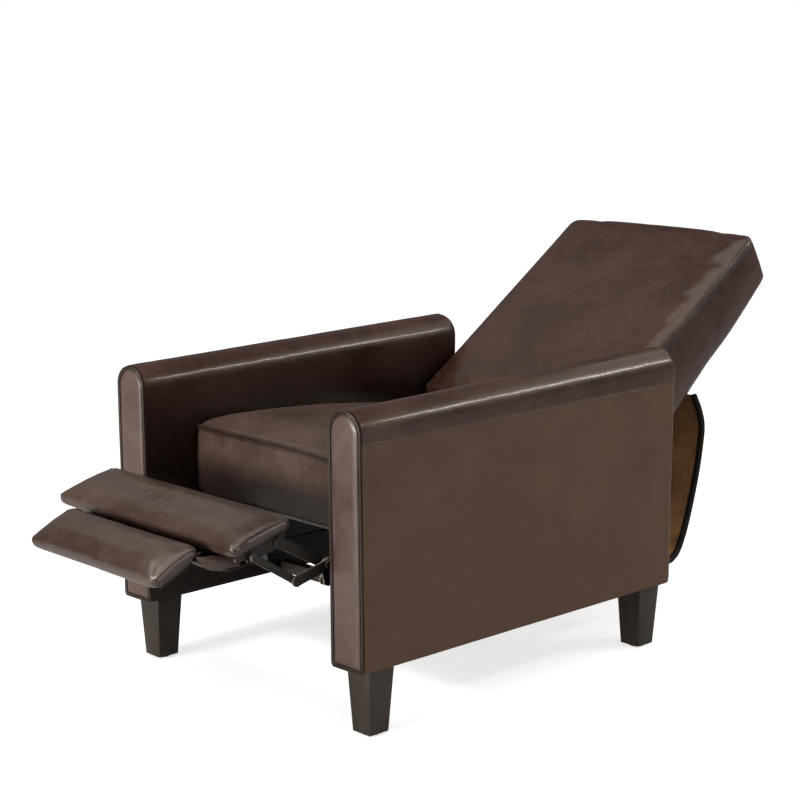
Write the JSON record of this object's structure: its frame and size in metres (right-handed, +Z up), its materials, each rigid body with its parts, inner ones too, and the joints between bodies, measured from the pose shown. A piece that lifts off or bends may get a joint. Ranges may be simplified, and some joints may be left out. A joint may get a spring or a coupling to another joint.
{
  "type": "recliner armchair",
  "caption": "Push-back recliner armchair with roll arms, a boxed seat, a wedge back, a rear leather flap and a folding footrest on steel links, drawn fully reclined.",
  "frame": {"origin": "centre of the reclined chair's bounding box, on the floor", "axes": "+Z up, the footrest points along -Y, the back leans along +Y, +X is the sitter's left"},
  "size_m": [0.69, 1.5666, 0.7772],
  "materials": {
    "leather": "satin",
    "leather_front": "satin",
    "leather_back_side": "matt",
    "welt": "satin",
    "leg_wood": "satin",
    "frame_wood": "matt",
    "steel": "satin",
    "bright_steel": "satin",
    "foam": "matt",
    "glide": "matt",
    "black_cloth": "matt",
    "tack_strip": "matt"
  },
  "bodies": {
    "base": {"arm_cover_left": "leather", "arm_cover_right": "leather", "arm_front_panel_left": "leather_front", "arm_front_panel_right": "leather_front", "arm_welt_left": "welt", "arm_welt_right": "welt", "arm_foam_left": "foam", "arm_foam_right": "foam", "arm_frame_left": "frame_wood", "arm_frame_right": "frame_wood", "leg_front_left": "leg_wood", "leg_front_right": "leg_wood", "leg_rear_left": "leg_wood", "leg_rear_right": "leg_wood", "leg_bolts": "bright_steel", "leg_glides": "glide", "cross_rail": "leg_wood", "rear_rail": "leg_wood", "base_plate_left": "steel", "base_plate_right": "steel", "plate_bolts": "bright_steel"},
    "front_swing": {"swing_links_front": "steel"},
    "rear_swing": {"swing_links_rear": "steel"},
    "seat": {"seat_plate_left": "steel", "seat_plate_right": "steel", "inner_hangers": "steel", "cross_tube": "steel", "seat_frame": "frame_wood", "seat_springs": "bright_steel", "spring_clips": "bright_steel", "seat_foam": "foam", "seat_cover": "leather", "seat_welt": "welt", "seat_hem_strip": "tack_strip", "seat_dust_cloth": "black_cloth"},
    "long_link": {"long_links": "steel"},
    "pad_link": {"pad_links": "steel"},
    "control_link": {"control_links": "steel"},
    "elbow_crank": {"elbow_cranks": "steel"},
    "elbow_link": {"elbow_links": "steel"},
    "flap_lower": {"flap_lower": "leather_back_side"},
    "flap_upper": {"flap_upper": "leather_back_side"},
    "footrest": {"pad_brackets": "steel", "pad_board": "frame_wood", "pad_foam": "foam", "pad_cover": "leather", "flipper_lugs": "steel", "bridge_flap": "leather"},
    "flipper": {"flipper_brackets": "steel", "flipper_board": "frame_wood", "flipper_foam": "foam", "flipper_cover": "leather"},
    "back": {"back_frame": "frame_wood", "back_webbing": "black_cloth", "back_foam": "foam", "back_cover": "leather", "back_outside_panel": "leather", "back_welt": "welt", "back_brackets": "steel"}
  },
  "joints": [
    {"name": "recline", "type": "hinge", "parent": "base", "child": "back", "pos_m": [0, 0.3288, 0.329], "axis": [1, 0, 0], "range_deg": [0, 44]},
    {"name": "front_swing_pivot", "type": "hinge", "parent": "base", "child": "front_swing", "pos_m": [0, -0.1462, 0.213], "axis": [1, 0, 0], "range_deg": [0, 33]},
    {"name": "rear_swing_pivot", "type": "hinge", "parent": "base", "child": "rear_swing", "pos_m": [0, 0.1038, 0.213], "axis": [1, 0, 0], "range_deg": [0, 33]},
    {"name": "seat_pivot", "type": "hinge", "parent": "front_swing", "child": "seat", "pos_m": [0, -0.12348, 0.28971], "axis": [1, 0, 0], "range_deg": [-33, 0]},
    {"name": "long_link_pivot", "type": "hinge", "parent": "seat", "child": "long_link", "pos_m": [0, -0.3322, 0.314], "axis": [1, 0, 0], "range_deg": [0, 131.6]},
    {"name": "pad_link_pivot", "type": "hinge", "parent": "long_link", "child": "pad_link", "pos_m": [0, -0.4652, 0.309], "axis": [1, 0, 0], "range_deg": [-140.01, 0]},
    {"name": "elbow_crank_pivot", "type": "hinge", "parent": "long_link", "child": "elbow_crank", "pos_m": [0, -0.4652, 0.309], "axis": [1, 0, 0], "range_deg": [-70.64, 0]},
    {"name": "elbow_link_pivot", "type": "hinge", "parent": "elbow_crank", "child": "elbow_link", "pos_m": [0, -0.5362, 0.292], "axis": [1, 0, 0], "range_deg": [-75.36, 0]},
    {"name": "control_link_pivot", "type": "hinge", "parent": "seat", "child": "control_link", "pos_m": [0, -0.3252, 0.28], "axis": [1, 0, 0], "range_deg": [0, 131.09]},
    {"name": "footrest_pivot", "type": "hinge", "parent": "pad_link", "child": "footrest", "pos_m": [0, -0.5672, 0.365], "axis": [1, 0, 0], "range_deg": [0, 83.81]},
    {"name": "flap_lower_hinge", "type": "hinge", "parent": "base", "child": "flap_lower", "pos_m": [0, 0.3788, 0.131], "axis": [1, 0, 0], "range_deg": [0, 66.48]},
    {"name": "flap_upper_hinge", "type": "hinge", "parent": "flap_lower", "child": "flap_upper", "pos_m": [0, 0.5108, 0.146], "axis": [1, 0, 0], "range_deg": [-54.16, 0]},
    {"name": "flipper_pivot", "type": "hinge", "parent": "footrest", "child": "flipper", "pos_m": [0, -0.62632, 0.35123], "axis": [1, 0, 0], "range_deg": [0, 80], "deforming": ["bridge_flap"]}
  ],
  "couplings": [
    {"joint": "front_swing_pivot", "follows": "recline", "ratio": 0.75},
    {"joint": "rear_swing_pivot", "follows": "recline", "ratio": 0.75},
    {"joint": "seat_pivot", "follows": "recline", "ratio": -0.75},
    {"joint": "long_link_pivot", "follows": "recline", "ratio": 2.9909},
    {"joint": "pad_link_pivot", "follows": "recline", "ratio": -3.182},
    {"joint": "elbow_crank_pivot", "follows": "recline", "ratio": -1.6053},
    {"joint": "elbow_link_pivot", "follows": "recline", "ratio": -1.7127},
    {"joint": "control_link_pivot", "follows": "recline", "ratio": 2.9794},
    {"joint": "footrest_pivot", "follows": "recline", "ratio": 1.9048},
    {"joint": "flap_lower_hinge", "follows": "recline", "ratio": 1.511},
    {"joint": "flap_upper_hinge", "follows": "recline", "ratio": -1.231},
    {"joint": "flipper_pivot", "follows": "recline", "ratio": 1.8182}
  ]
}
